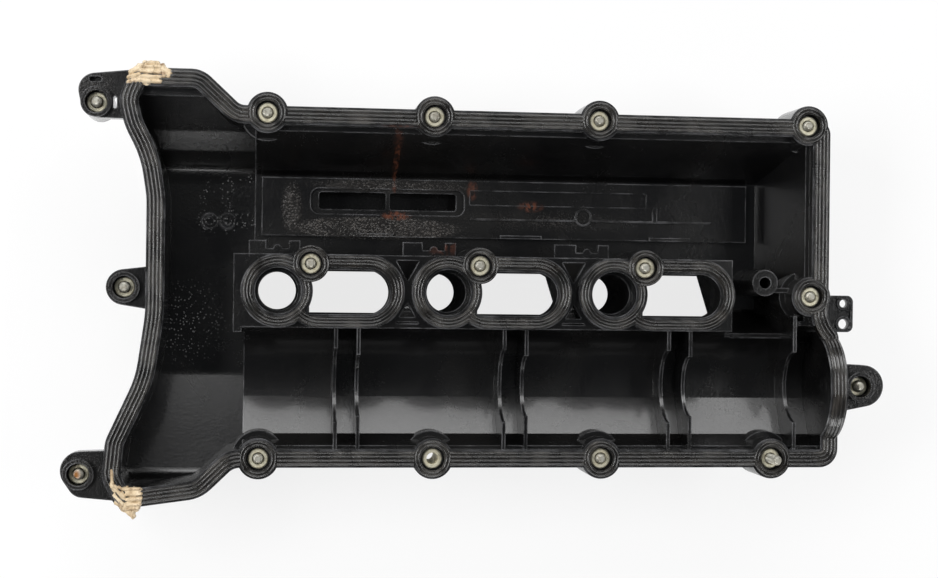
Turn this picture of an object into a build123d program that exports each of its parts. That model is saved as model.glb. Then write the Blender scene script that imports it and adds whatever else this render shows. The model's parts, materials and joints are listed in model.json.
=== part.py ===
from build123d import *
import os
from math import asin, degrees, sqrt

# Engine valve cover for one bank of a V6, seen with its gasket side up.
# +X runs along the cylinders away from the front (timing) chamber, +Y runs
# away from the camshaft and +Z points out of the open side. The origin is on
# the middle plug bore's axis, at the plane that the outer mouths rest on.

# Main heights
GASKET_Z = 75.0
WALL = 3.0
DECK_Z = 69.0
DECK_T = 6.0
RIB_T = 2.2
RIB_TOP_GAP = 1.5

# Cylinder wells
CYL_PITCH = 98.0
PLUG_BORE_R = 11.5
PLUG_MOUTH_R = 13.2
PLUG_MOUTH_DEPTH = 12.0
WINDOW_START = 17.0
WINDOW_END = 64.0
WINDOW_TOP = 12.3
WINDOW_BOTTOM = -13.2
WINDOW_FLARE = 9.0
WINDOW_FLARE_SLANT = 4.0
WINDOW_SET_BACK = 0.5
DUCT_OVERLAP = 3.0
WELL_R = 21.2
WELL_LOBE_START = 24.0
WELL_LOBE_END = 51.6
WELL_TUBE_WALL = 3.2
WELL_FLANGE_T = 6.0
WELL_BOLT_X = 18.5
WELL_BOLT_Y = 15.7
WELL_BOLT_RING_R = 10.6

# Rim outline, outer edge of the flange
RIM_TOP = 105.6
RIM_BOTTOM = -101.4
RIM_RIGHT = 228.0
END_X = 234.5
END_STEP_Y = -22.0
FRONT_TOP = 125.5
FRONT_BOTTOM = -125.0
FRONT_LEFT = -172.6
FRONT_TOP_SHOULDER = -142.0
FRONT_TOP_NECK = -120.6
FRONT_BOTTOM_SHOULDER = -140.0
FRONT_BOTTOM_NECK = -122.0
CORNER_TOP_X = -181.5
CORNER_BOTTOM_X = -187.0
FLANGE_W = 10.5
FLANGE_T = 8.0

# Rim bolts: places along the top row, the bottom row and the right flange
BOLT_TOP_Y = 101.7
BOLT_TOP_X = [-105.2, -9.0, 88.1, 214.7]
BOLT_BOTTOM_Y = -96.2
BOLT_BOTTOM_X = [-108.2, -8.1, 91.1, 193.8]
EMPTY_BOTTOM = 1
RAISED_BOTTOM = 3
BOLT_RIGHT = (217.2, 0.0)
EAR_FRONT_TOP = (-201.4, 105.7)
EAR_FRONT_MIDDLE = (-184.8, 0.9)
EAR_FRONT_BOTTOM = (-209.0, -105.3)
EAR_REAR = (249.0, -53.4)

# Bolt bosses
BOSS_R = 11.8
BOSS_NECK_H = 14.0
BOSS_SKIRT_R = 15.2
BOSS_BOTTOM_Z = 43.0
WELL_CUP_R = 8.7

# Ears: a ring boss that stands above a web with rounded corners. Each corner
# is given from the bolt's axis, with its radius.
EAR_BOSS_R = 8.8
EAR_HOLE_R = 6.4
EAR_HOLE_DEPTH = 7.5
EAR_TOP_Z = 74.0
EAR_WEB_Z = 71.0
EAR_WEB_T = 9.0
EAR_WEBS = {
    "front_bolt_top": [(-0.6, 6.9, 9.6), (17.4, 12.5, 6.0), (16.0, -5.0, 4.0)],
    "front_bolt_middle": [(0.0, 0.0, 10.2), (16.0, 8.2, 4.0), (16.0, -8.8, 4.0)],
    "front_bolt_bottom": [
        (0.8, 1.8, 11.0),
        (2.5, -4.7, 8.7),
        (17.0, 8.3, 5.0),
        (21.0, -10.2, 5.0),
    ],
    "rear_bolt": [(2.5, 0.4, 12.4), (-17.0, 8.8, 5.0), (-17.0, -11.0, 5.0)],
}
EAR_POCKET = (-0.9, 13.0)
EAR_POCKET_L = 7.0
EAR_POCKET_W = 2.8
EAR_POCKET_DEPTH = 4.0
EAR_GAP_L = 7.0
EAR_GAP_W = 2.0

# Camshaft vault
CAM_Y = -54.0
VAULT_R = 37.0
VAULT_CREASE_Y = -62.5
VAULT_FACET_Y = -83.6
VAULT_FACET_Z = 51.3
VAULT_START_X = -117.5
ARCH_RISE = 18.0
ARCH_HALF_CHORD = 28.9
RIB_DEEP_R = 21.3
RIB_SHALLOW_R = 17.6
RIB_SHALLOW_DROP = 1.4
RIB_FIRST = 33.5
RIB_SECOND = 46.5
BULKHEAD_X = 207.0
BULKHEAD_CUT_R = 21.0

# Upper chamber
UPPER_FLOOR_Z = 26.0
UPPER_FLOOR_TOP_Y = 69.5
UPPER_FLOOR_LOW_Y = -11.5
UPPER_START_X = -112.0
UPPER_FLOOR_END_X = 197.0
SIDE_WALL_Z = 50.0
SIDE_WALL_Y = -22.8
SIDE_WALL_FOOT_Z = 33.0

# Front chamber
FRONT_FLOOR_Z = 15.0
FRONT_SLOPE_TOP = (93.0, 45.0)
FRONT_SLOPE_MIDDLE = (82.0, 34.0)
FRONT_SLOPE_FOOT_Y = 72.0
FRONT_CREASE_Y = -50.0
FRONT_RAMP_END = (-110.5, 31.0)
BLOCK_X = -123.5
BLOCK_TOP_Y = 17.5
BLOCK_LOW_Y = -24.0

# Oil separator under the baffle
BAFFLE_X0 = -107.9
BAFFLE_X1 = 190.3
BAFFLE_Y0 = 33.0
BAFFLE_TOP_GAP = 1.4
BAFFLE_T = 3.0
BAFFLE_LEDGE = 4.0
BOX_FLOOR_T = 3.0
RECESS_X0 = -78.7
RECESS_X1 = 14.1
RECESS_Y0 = 46.6
RECESS_Y1 = 61.8
RECESS_DEPTH = 1.4
SLOT_INSET = 5.0
SLOT_BAR = 2.4
BAFFLE_TABS_X = [-42.0, 49.0, 141.7]
BAFFLE_TAB_L = 25.6
BAFFLE_RIDGE_X0 = 17.7
BAFFLE_RIDGE_X1 = 169.5
BAFFLE_RIDGE_Y = 44.7
BAFFLE_STEP_X1 = 127.0
BAFFLE_STEP_Y = 53.6
BAFFLE_RING = (87.6, 46.9)
BAFFLE_RING_R = 5.4
BAFFLE_TAB_W = 2.2
BAFFLE_TAB_H = 1.6
RECESS_CORNER_R = 5.0
SLOT_CORNER_R = 1.5
SLOT_RISE = 0.4
RIDGE_W = 1.2
RIDGE_H = 0.8
PILL_W = 3.0

# Sealing
GASKET_INSET = 1.3
GASKET_W = 8.0
GASKET_DEPTH = 3.5
GASKET_PROUD = 1.3
BOLT_RING_R = 10.6
RING_HOLE_R = 6.9
WELL_GASKET_INSET = 0.8
WELL_GASKET_LIP = 1.5

# Captive bolts in sleeves pressed into the bosses
SLEEVE_R = 5.8
SLEEVE_BORE_R = 3.35
SLEEVE_DROP = 1.5
SLEEVE_STEP = 2.0
THREAD_R = 3.0
BOLT_TRAVEL = 11.7
BOLT_END_GAP = 0.3
BOLT_TIP_PROUD = 1.7
EAR_TIP_PROUD = 0.6
BOLT_HEAD_AF = 10.0
BOLT_HEAD_H = 6.0

# Sealant left on the two front corners of the gasket
SEALANT_TOP_Z = 78.4
SEALANT_LOW_Z = EAR_TOP_Z
SEALANT_BEVEL = 1.0
SEALANT_TOP = [
    (-187.5, 117.0),
    (-186.0, 124.5),
    (-180.5, 127.5),
    (-175.0, 130.4),
    (-171.0, 127.3),
    (-165.0, 129.0),
    (-160.5, 124.8),
    (-162.0, 118.0),
    (-172.0, 115.8),
]
SEALANT_BOTTOM = [
    (-194.5, -103.0),
    (-190.5, -103.5),
    (-188.0, -110.0),
    (-183.0, -113.8),
    (-174.0, -114.4),
    (-171.4, -118.0),
    (-171.8, -127.0),
    (-176.0, -127.4),
    (-180.4, -130.0),
    (-183.0, -126.5),
    (-189.0, -122.8),
    (-196.5, -112.0),
]

# Small features
PIN_BOSS = (190.8, 8.0)
PIN_BOSS_R = 7.8
PIN_BOSS_HOLE_R = 3.4
LINK_RIB_Y = 3.7
LINK_RIB_T = 3.0
LINK_RIB_Z = 66.0
TAB_Z = 60.0
TAB_T = 3.5
TAB_X1 = 248.6
TAB_Y0 = -21.1
TAB_Y1 = 1.0
TAB_CORNER_R = 3.8
TAB_BORDER = 1.5
TAB_RING_W = 1.7
TAB_RECESS = 0.8
TAB_HOLE_X = 242.6
TAB_HOLES = [(-3.8, 2.4), (-16.2, 3.0)]
CLIP_Z = 67.0
CLIP_T = 4.0
CLIP_REACH = 29.0
CLIPS = [(-114.9, -85.5), (-26.2, 5.0), (63.3, 95.9)]
CLIP_NOTCH_W = 13.0
CLIP_NOTCH_DEPTH = 4.6
CLIP_BUMP_R = 2.4
POCKET_APEX_Y = 6.4
POCKET_BASE_Y = 18.2
POCKET_HALF_W = 6.6

# Worked out from the values above
PLUGS_X = [-CYL_PITCH, 0.0, CYL_PITCH]
BAFFLE_Y1 = UPPER_FLOOR_TOP_Y - BAFFLE_TOP_GAP
LAST_WELL_END = CYL_PITCH + WELL_LOBE_END + WELL_R
VAULT_CREASE_Z = GASKET_Z - sqrt(VAULT_R**2 - (VAULT_CREASE_Y - CAM_Y) ** 2)
ARCH_R = (ARCH_HALF_CHORD**2 + ARCH_RISE**2) / (2 * ARCH_RISE)
ARCH_Z = GASKET_Z + ARCH_RISE - ARCH_R
GASKET_FLOOR_Z = GASKET_Z - GASKET_DEPTH
GASKET_TOP_Z = GASKET_Z + GASKET_PROUD
SLEEVE_TOP_Z = GASKET_Z - SLEEVE_DROP
EAR_SEAT_Z = EAR_TOP_Z - EAR_HOLE_DEPTH
INNER_END_X = END_X - FLANGE_W
CLEAR = 2.0
MERGE = 1.0

RIM_CORNERS = [
    (CORNER_TOP_X, FRONT_TOP),
    (FRONT_TOP_SHOULDER, FRONT_TOP),
    (FRONT_TOP_NECK, RIM_TOP),
    (RIM_RIGHT, RIM_TOP),
    (RIM_RIGHT, END_STEP_Y + 8.0),
    (END_X, END_STEP_Y),
    (END_X, RIM_BOTTOM),
    (FRONT_BOTTOM_NECK, RIM_BOTTOM),
    (FRONT_BOTTOM_SHOULDER, FRONT_BOTTOM + 6.2),
    (CORNER_BOTTOM_X, FRONT_BOTTOM),
    (FRONT_LEFT - 23.4, RIM_BOTTOM - 6.0),
    (FRONT_LEFT - 21.4, -86.0),
    (FRONT_LEFT - 5.0, -50.0),
    (FRONT_LEFT, -14.0),
    (FRONT_LEFT, 52.0),
    (FRONT_LEFT - 3.4, 74.0),
    (FRONT_LEFT - 12.6, 92.0),
    (FRONT_LEFT - 16.6, 108.0),
]
RIM_RADII = [9, 16, 7, 9, 14, 8, 11, 9, 22, 9, 14, 16, 60, 90, 60, 60, 40, 18]

BOLTS = {}
for place, x in enumerate(BOLT_TOP_X):
    BOLTS[f"top_bolt_{place + 1}"] = (x, BOLT_TOP_Y)
for place, x in enumerate(BOLT_BOTTOM_X):
    BOLTS[f"bottom_bolt_{place + 1}"] = (x, BOLT_BOTTOM_Y)
BOLTS["right_bolt"] = BOLT_RIGHT
RIM_BOLTS = list(BOLTS)
for place, x in enumerate(PLUGS_X):
    BOLTS[f"well_bolt_{place + 1}"] = (x + WELL_BOLT_X, WELL_BOLT_Y)
WELL_BOLTS = [name for name in BOLTS if name.startswith("well")]
BOLTS["front_bolt_top"] = EAR_FRONT_TOP
BOLTS["front_bolt_middle"] = EAR_FRONT_MIDDLE
BOLTS["front_bolt_bottom"] = EAR_FRONT_BOTTOM
BOLTS["rear_bolt"] = EAR_REAR
EAR_BOLTS = ["front_bolt_top", "front_bolt_middle", "front_bolt_bottom", "rear_bolt"]
EMPTY_NAME = f"bottom_bolt_{EMPTY_BOTTOM + 1}"
RAISED_NAME = f"bottom_bolt_{RAISED_BOTTOM + 1}"


def places(names):
    """Bolt axes of the named bolts."""
    return [BOLTS[name] for name in names]


def rim_face(inset):
    """Plan of the rim, moved in from the flange's outer edge."""
    with BuildSketch() as plan:
        with BuildLine():
            FilletPolyline(*RIM_CORNERS, radius=RIM_RADII, close=True)
        make_face()
        if inset > 0:
            offset(amount=-inset, mode=Mode.REPLACE)
    return plan.sketch


def vault_run(x_start, x_end, grow):
    """The camshaft vault: a round roof that turns into a flat facet."""
    sweep_angle = 90 + degrees(asin((CAM_Y - VAULT_CREASE_Y) / VAULT_R))
    with BuildPart() as run:
        with BuildSketch(Plane.YZ.offset(x_start)):
            with BuildLine():
                roof = CenterArc((CAM_Y, GASKET_Z), VAULT_R, 0, -sweep_angle)
                Polyline(
                    roof @ 1,
                    (VAULT_FACET_Y, VAULT_FACET_Z),
                    (RIM_BOTTOM + FLANGE_W, GASKET_Z),
                    (RIM_BOTTOM + FLANGE_W, GASKET_Z + CLEAR),
                    (CAM_Y + VAULT_R, GASKET_Z + CLEAR),
                    roof @ 0,
                )
            make_face()
            if grow > 0:
                offset(amount=grow, mode=Mode.REPLACE)
        extrude(amount=x_end - x_start)
    return run.part


UPPER_OUTLINE = [
    (RIM_TOP - FLANGE_W, GASKET_Z + CLEAR),
    (RIM_TOP - FLANGE_W, GASKET_Z),
    (UPPER_FLOOR_TOP_Y, UPPER_FLOOR_Z),
    (UPPER_FLOOR_LOW_Y, UPPER_FLOOR_Z),
    (UPPER_FLOOR_LOW_Y, SIDE_WALL_FOOT_Z),
    (SIDE_WALL_Y, SIDE_WALL_Z),
    (SIDE_WALL_Y, GASKET_Z + CLEAR),
]
UPPER_RADII = [0, 5, 1.5, 4, 3, 4, 0]


def upper_run(grow):
    """The chamber over the separator, with sloping long and end walls."""
    start = UPPER_START_X - grow
    with BuildPart() as run:
        with BuildSketch(Plane.YZ.offset(start)):
            with BuildLine():
                FilletPolyline(*UPPER_OUTLINE, radius=UPPER_RADII, close=True)
            make_face()
            if grow > 0:
                offset(amount=grow, mode=Mode.REPLACE)
        extrude(amount=RIM_RIGHT - start)
        with BuildSketch(Plane.XZ):
            with BuildLine():
                Polyline(
                    (start, UPPER_FLOOR_Z - grow),
                    (UPPER_FLOOR_END_X + grow, UPPER_FLOOR_Z - grow),
                    (RIM_RIGHT - FLANGE_W + grow, GASKET_Z),
                    (RIM_RIGHT - FLANGE_W + grow, GASKET_Z + CLEAR),
                    (start, GASKET_Z + CLEAR),
                    close=True,
                )
            make_face()
        extrude(amount=RIM_RIGHT, both=True, mode=Mode.INTERSECT)
        if grow == 0:
            with BuildSketch(Plane.YZ.offset(start)):
                with Locations((CAM_Y, GASKET_Z)):
                    Circle(VAULT_R + WALL)
            extrude(amount=RIM_RIGHT - start, mode=Mode.SUBTRACT)
    return run.part


FRONT_OUTLINE = [
    (FRONT_TOP - FLANGE_W, GASKET_Z + CLEAR),
    (FRONT_TOP - FLANGE_W, GASKET_Z),
    FRONT_SLOPE_TOP,
    FRONT_SLOPE_MIDDLE,
    (FRONT_SLOPE_FOOT_Y, FRONT_FLOOR_Z),
    (FRONT_CREASE_Y, FRONT_FLOOR_Z),
    FRONT_RAMP_END,
    (FRONT_BOTTOM + FLANGE_W, GASKET_Z),
    (FRONT_BOTTOM + FLANGE_W, GASKET_Z + CLEAR),
]
FRONT_RADII = [0, 6, 10, 8, 14, 12, 7, 0, 0]


def front_run(grow):
    """The timing chamber across the front end."""
    far = 2 * FRONT_BOTTOM
    with BuildPart() as run:
        with BuildSketch(Plane.YZ.offset(UPPER_START_X + grow)):
            with BuildLine():
                FilletPolyline(*FRONT_OUTLINE, radius=FRONT_RADII, close=True)
            make_face()
            if grow > 0:
                offset(amount=grow, mode=Mode.REPLACE)
        extrude(amount=far)
        add(rim_face(FLANGE_W - grow))
        extrude(amount=GASKET_Z + CLEAR, mode=Mode.INTERSECT)
        with BuildSketch():
            with BuildLine():
                Polyline(
                    (far, far),
                    (VAULT_START_X + grow, far),
                    (VAULT_START_X + grow, BLOCK_LOW_Y + grow),
                    (BLOCK_X + grow, BLOCK_LOW_Y + grow),
                    (BLOCK_X + grow, BLOCK_TOP_Y - grow),
                    (UPPER_START_X + grow, BLOCK_TOP_Y - grow),
                    (UPPER_START_X + grow, -far),
                    (far, -far),
                    close=True,
                )
            make_face()
        extrude(amount=GASKET_Z + CLEAR, mode=Mode.INTERSECT)
    return run.part


def well_face(inset):
    """Plan of one well's flange: plug lobe, window lobe and bolt ring."""
    with BuildSketch() as plan:
        Circle(WELL_R)
        with Locations(((WELL_LOBE_START + WELL_LOBE_END) / 2, 0)):
            SlotCenterToCenter(WELL_LOBE_END - WELL_LOBE_START, 2 * WELL_R)
        with Locations((WELL_BOLT_X, WELL_BOLT_Y)):
            Circle(WELL_BOLT_RING_R)
        if inset > 0:
            offset(amount=-inset, mode=Mode.REPLACE)
    return plan.sketch


def window_face(grow):
    """Opening beside the plug bore: flat sides, round far end, hollow near end."""
    half = (WINDOW_TOP - WINDOW_BOTTOM) / 2
    middle = (WINDOW_TOP + WINDOW_BOTTOM) / 2
    length = WINDOW_END - half - WINDOW_START
    with BuildSketch() as plan:
        with Locations((WINDOW_START + length / 2, middle)):
            Rectangle(length, 2 * half)
        with Locations((WINDOW_END - half, middle)):
            Circle(half)
        Circle(WELL_R - WELL_GASKET_INSET - WINDOW_SET_BACK, mode=Mode.SUBTRACT)
        with Locations((WELL_BOLT_X, WELL_BOLT_Y)):
            Circle(WELL_BOLT_RING_R, mode=Mode.SUBTRACT)
        if grow > 0:
            offset(amount=grow, mode=Mode.REPLACE)
    return plan.sketch


def duct(x, grow):
    """Passage under a window, widening to a slanted end at its outer mouth."""
    top_z = GASKET_Z - PLUG_MOUTH_DEPTH
    near = WELL_R - DUCT_OVERLAP
    with BuildPart() as passage:
        with BuildSketch(Plane((x, 0, 0))):
            with BuildLine():
                Polyline(
                    (near, WINDOW_TOP),
                    (WINDOW_END + WINDOW_FLARE - WINDOW_FLARE_SLANT, WINDOW_TOP),
                    (WINDOW_END + WINDOW_FLARE + WINDOW_FLARE_SLANT, WINDOW_BOTTOM),
                    (near, WINDOW_BOTTOM),
                    close=True,
                )
            make_face()
            if grow > 0:
                offset(amount=grow, kind=Kind.INTERSECTION, mode=Mode.REPLACE)
        with BuildSketch(Plane((x, 0, top_z))):
            with BuildLine():
                Polyline(
                    (near, WINDOW_TOP),
                    (WINDOW_END, WINDOW_TOP),
                    (WINDOW_END, WINDOW_BOTTOM),
                    (near, WINDOW_BOTTOM),
                    close=True,
                )
            make_face()
            if grow > 0:
                offset(amount=grow, kind=Kind.INTERSECTION, mode=Mode.REPLACE)
        loft(ruled=True)
    return passage.part


def cam_rib(x, cut_r, drop):
    """Cross rib in the vault with a round cut that clears the camshaft."""
    with BuildPart() as rib:
        with BuildSketch(Plane.YZ.offset(x - RIB_T / 2)):
            with BuildLine():
                Polyline(
                    (RIM_BOTTOM + FLANGE_W - MERGE, GASKET_Z - RIB_TOP_GAP),
                    (CAM_Y + VAULT_R + MERGE, GASKET_Z - RIB_TOP_GAP),
                    (CAM_Y + VAULT_R + MERGE, GASKET_Z - VAULT_R - MERGE),
                    (RIM_BOTTOM + FLANGE_W - MERGE, GASKET_Z - VAULT_R - MERGE),
                    close=True,
                )
            make_face()
            with Locations((CAM_Y, GASKET_Z - drop)):
                Circle(cut_r, mode=Mode.SUBTRACT)
        extrude(amount=RIB_T)
        add(vault_run(x - RIB_T, x + RIB_T, WALL / 2), mode=Mode.INTERSECT)
    return rib.part


def ear(name):
    """Side ear: a web drawn from the flange round a higher ring boss."""
    x, y = BOLTS[name]
    with BuildPart() as lug:
        with BuildSketch(Plane((x, y, EAR_WEB_Z - EAR_WEB_T))):
            Circle(EAR_BOSS_R)
            for corner_x, corner_y, corner_r in EAR_WEBS[name]:
                with Locations((corner_x, corner_y)):
                    Circle(corner_r)
            make_hull()
        extrude(amount=EAR_WEB_T)
        with BuildSketch(Plane((x, y, BOSS_BOTTOM_Z))):
            Circle(EAR_BOSS_R)
        extrude(amount=EAR_TOP_Z - BOSS_BOTTOM_Z)
    return lug.part


def tab_face(inset):
    """Plan of the two-hole tab beyond the end of the rim, moved in."""
    length = TAB_X1 - RIM_RIGHT + FLANGE_W
    width = TAB_Y1 - TAB_Y0
    with BuildSketch() as plan:
        with Locations((TAB_X1 - length / 2, TAB_Y0 + width / 2)):
            RectangleRounded(length - 2 * inset, width - 2 * inset, TAB_CORNER_R - inset)
        if inset > 0:
            add(rim_face(0), mode=Mode.SUBTRACT)
    return plan.sketch


def link_rib():
    """Rib that ties the pin boss to the right bolt's boss."""
    start_x = PIN_BOSS[0] + (PIN_BOSS_R + PIN_BOSS_HOLE_R) / 2
    end_x = BOLT_RIGHT[0] - BOSS_R + MERGE
    with BuildPart() as rib:
        with BuildSketch(Plane((start_x, LINK_RIB_Y, UPPER_FLOOR_Z - WALL))):
            Rectangle(end_x - start_x, LINK_RIB_T, align=(Align.MIN, Align.CENTER))
        extrude(amount=LINK_RIB_Z - UPPER_FLOOR_Z + WALL)
        add(upper_run(WALL / 2), mode=Mode.INTERSECT)
    return rib.part


def arch_band(inner_r, outer_r, x_start, x_end, low_z):
    """Band over the half-moon at the camshaft's end, above a given height."""
    with BuildPart() as band:
        with BuildSketch(Plane.YZ.offset(x_start)):
            with Locations((CAM_Y, ARCH_Z)):
                Circle(outer_r)
                if inner_r > 0:
                    Circle(inner_r, mode=Mode.SUBTRACT)
            with Locations((CAM_Y, low_z + 2 * ARCH_R)):
                Rectangle(4 * ARCH_R, 4 * ARCH_R, mode=Mode.INTERSECT)
        extrude(amount=x_end - x_start)
    return band.part


def rim_skirts():
    """Inner skirts of the rim bosses, held inside the rim's outline."""
    with BuildPart() as skirts:
        with BuildSketch(Plane.XY.offset(BOSS_BOTTOM_Z)):
            with Locations(*places(RIM_BOLTS)):
                Circle(BOSS_SKIRT_R)
            add(rim_face(0), mode=Mode.INTERSECT)
        extrude(amount=GASKET_Z - BOSS_NECK_H - BOSS_BOTTOM_Z)
    return skirts.part


def rim_gasket_body():
    """Rim gasket: a flat band with bolt rings that steps over the half-moon."""
    band_x1 = END_X - GASKET_INSET
    band_x0 = band_x1 - GASKET_W
    with BuildPart() as body:
        with BuildSketch(Plane.XY.offset(GASKET_FLOOR_Z)):
            add(rim_face(GASKET_INSET))
            add(rim_face(GASKET_INSET + GASKET_W), mode=Mode.SUBTRACT)
            with Locations(*places(RIM_BOLTS)):
                Circle(BOLT_RING_R)
            with Locations(*places(RIM_BOLTS)):
                Circle(RING_HOLE_R, mode=Mode.SUBTRACT)
        extrude(amount=GASKET_TOP_Z - GASKET_FLOOR_Z)
        with BuildSketch(Plane.XY.offset(GASKET_FLOOR_Z)):
            with Locations((band_x0 - CLEAR, CAM_Y)):
                Rectangle(
                    GASKET_W + 2 * CLEAR,
                    2 * ARCH_HALF_CHORD,
                    align=(Align.MIN, Align.CENTER),
                )
        extrude(amount=ARCH_RISE, mode=Mode.SUBTRACT)
        add(
            arch_band(
                ARCH_R - GASKET_DEPTH,
                ARCH_R + GASKET_PROUD,
                band_x0,
                band_x1,
                GASKET_FLOOR_Z,
            )
        )
    return body.part


def well_gasket_body(plug_x):
    """Gasket of one well: plug ring, window ring and bolt ring."""
    with BuildPart() as body:
        with BuildSketch(Plane((plug_x, 0, GASKET_FLOOR_Z))):
            add(well_face(WELL_GASKET_INSET))
            add(window_face(WELL_GASKET_LIP), mode=Mode.SUBTRACT)
            Circle(PLUG_MOUTH_R + WELL_GASKET_LIP, mode=Mode.SUBTRACT)
            with Locations((WELL_BOLT_X, WELL_BOLT_Y)):
                Circle(RING_HOLE_R, mode=Mode.SUBTRACT)
        extrude(amount=GASKET_TOP_Z - GASKET_FLOOR_Z)
    return body.part


with BuildPart() as cover_shell:
    # Outer skin of the three chambers, trimmed to the rim
    add(upper_run(WALL))
    add(vault_run(VAULT_START_X, INNER_END_X + WALL, WALL))
    add(front_run(WALL))
    add(rim_face(0))
    extrude(amount=GASKET_Z, mode=Mode.INTERSECT)
    # Oil separator box hanging below the upper floor
    with BuildSketch():
        with Locations(((BAFFLE_X0 + BAFFLE_X1) / 2, (BAFFLE_Y0 + BAFFLE_Y1) / 2)):
            Rectangle(BAFFLE_X1 - BAFFLE_X0, BAFFLE_Y1 - BAFFLE_Y0)
    extrude(amount=UPPER_FLOOR_Z)
    # Flange and the half-moon over the camshaft's end
    with BuildSketch(Plane.XY.offset(GASKET_Z - FLANGE_T)):
        add(rim_face(0))
    extrude(amount=FLANGE_T)
    add(arch_band(0, ARCH_R, INNER_END_X, END_X, GASKET_Z - FLANGE_T))
    # Chambers
    add(upper_run(0), mode=Mode.SUBTRACT)
    add(vault_run(VAULT_START_X - MERGE, INNER_END_X, 0), mode=Mode.SUBTRACT)
    add(front_run(0), mode=Mode.SUBTRACT)
    with BuildSketch(Plane.XY.offset(DECK_Z)):
        add(rim_face(FLANGE_W))
    extrude(amount=GASKET_Z + CLEAR - DECK_Z, mode=Mode.SUBTRACT)
    with BuildSketch(Plane.XY.offset(BOX_FLOOR_T)):
        with Locations(((BAFFLE_X0 + BAFFLE_X1) / 2, (BAFFLE_Y0 + BAFFLE_Y1) / 2)):
            Rectangle(
                BAFFLE_X1 - BAFFLE_X0 - 2 * BAFFLE_LEDGE,
                BAFFLE_Y1 - BAFFLE_Y0 - 2 * BAFFLE_LEDGE,
            )
    extrude(amount=UPPER_FLOOR_Z, mode=Mode.SUBTRACT)
    # The side wall is low beyond the last well
    with BuildSketch(Plane.XY.offset(SIDE_WALL_Z)):
        with Locations((LAST_WELL_END, SIDE_WALL_Y - CLEAR)):
            Rectangle(
                BULKHEAD_X - LAST_WELL_END,
                UPPER_FLOOR_LOW_Y - SIDE_WALL_Y + 2 * CLEAR,
                align=(Align.MIN, Align.MIN),
            )
    extrude(amount=GASKET_Z, mode=Mode.SUBTRACT)
    # Bulkhead and cross ribs
    with BuildSketch(Plane.YZ.offset(BULKHEAD_X)):
        with BuildLine():
            Polyline(
                (RIM_BOTTOM + FLANGE_W, GASKET_Z - RIB_TOP_GAP),
                (UPPER_FLOOR_LOW_Y, GASKET_Z - RIB_TOP_GAP),
                (UPPER_FLOOR_LOW_Y, UPPER_FLOOR_Z),
                (VAULT_CREASE_Y, VAULT_CREASE_Z - MERGE),
                (VAULT_FACET_Y, VAULT_FACET_Z - MERGE),
                close=True,
            )
        make_face()
        with Locations((CAM_Y, GASKET_Z)):
            Circle(BULKHEAD_CUT_R, mode=Mode.SUBTRACT)
    extrude(amount=RIB_T)
    for plug_x in PLUGS_X:
        add(cam_rib(plug_x + RIB_FIRST, RIB_DEEP_R, 0))
        add(cam_rib(plug_x + RIB_SECOND, RIB_SHALLOW_R, RIB_SHALLOW_DROP))
    # Deck along the wells with hourglass pockets between them
    with BuildSketch(Plane.XY.offset(DECK_Z - DECK_T)):
        with Locations((BLOCK_X, 0)):
            Rectangle(
                LAST_WELL_END - BLOCK_X,
                2 * WELL_R,
                align=(Align.MIN, Align.CENTER),
            )
        for plug_x in PLUGS_X[1:]:
            waist_x = plug_x - (CYL_PITCH - WELL_LOBE_END) / 2
            for side in (1, -1):
                with BuildLine():
                    Polyline(
                        (waist_x, side * POCKET_APEX_Y),
                        (waist_x - POCKET_HALF_W, side * POCKET_BASE_Y),
                        (waist_x + POCKET_HALF_W, side * POCKET_BASE_Y),
                        close=True,
                    )
                make_face(mode=Mode.SUBTRACT)
    extrude(amount=DECK_T)
    # Clip ledges along the deck
    for clip_x0, clip_x1 in CLIPS:
        with BuildSketch(Plane.XY.offset(CLIP_Z - CLIP_T)):
            with Locations((clip_x0, WELL_R - MERGE)):
                Rectangle(
                    clip_x1 - clip_x0,
                    CLIP_REACH - WELL_R + MERGE,
                    align=(Align.MIN, Align.MIN),
                )
            with Locations((clip_x1 - CLIP_NOTCH_W, CLIP_REACH)):
                Rectangle(
                    CLIP_NOTCH_W,
                    2 * CLIP_NOTCH_DEPTH,
                    align=(Align.CENTER, Align.CENTER),
                    mode=Mode.SUBTRACT,
                )
            with Locations((clip_x1 - CLIP_NOTCH_W, CLIP_REACH - CLIP_NOTCH_DEPTH)):
                Circle(CLIP_BUMP_R)
        extrude(amount=CLIP_T)
    # Wells: tubes, ducts, flanges
    for plug_x in PLUGS_X:
        with BuildSketch(Plane((plug_x, 0, 0))):
            Circle(PLUG_BORE_R + WELL_TUBE_WALL)
        extrude(amount=DECK_Z)
        add(duct(plug_x, WELL_TUBE_WALL))
        with BuildSketch(Plane((plug_x, 0, GASKET_Z - PLUG_MOUTH_DEPTH))):
            add(window_face(WELL_TUBE_WALL))
        extrude(amount=PLUG_MOUTH_DEPTH - WELL_FLANGE_T)
        with BuildSketch(Plane((plug_x, 0, GASKET_Z - WELL_FLANGE_T))):
            add(well_face(0))
        extrude(amount=WELL_FLANGE_T)
        with BuildSketch(Plane((plug_x, 0, GASKET_Z - PLUG_MOUTH_DEPTH))):
            add(window_face(0))
        extrude(amount=PLUG_MOUTH_DEPTH, mode=Mode.SUBTRACT)
        add(duct(plug_x, 0), mode=Mode.SUBTRACT)
        with BuildSketch(Plane((plug_x, 0, 0))):
            Circle(PLUG_BORE_R)
        extrude(amount=GASKET_Z, mode=Mode.SUBTRACT)
        with BuildSketch(Plane((plug_x, 0, GASKET_Z - PLUG_MOUTH_DEPTH))):
            Circle(PLUG_MOUTH_R)
        extrude(amount=PLUG_MOUTH_DEPTH, mode=Mode.SUBTRACT)
        with BuildSketch(Plane((plug_x + WELL_BOLT_X, WELL_BOLT_Y, 0))):
            Circle(WELL_BOLT_RING_R)
        extrude(amount=GASKET_Z)
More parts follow.
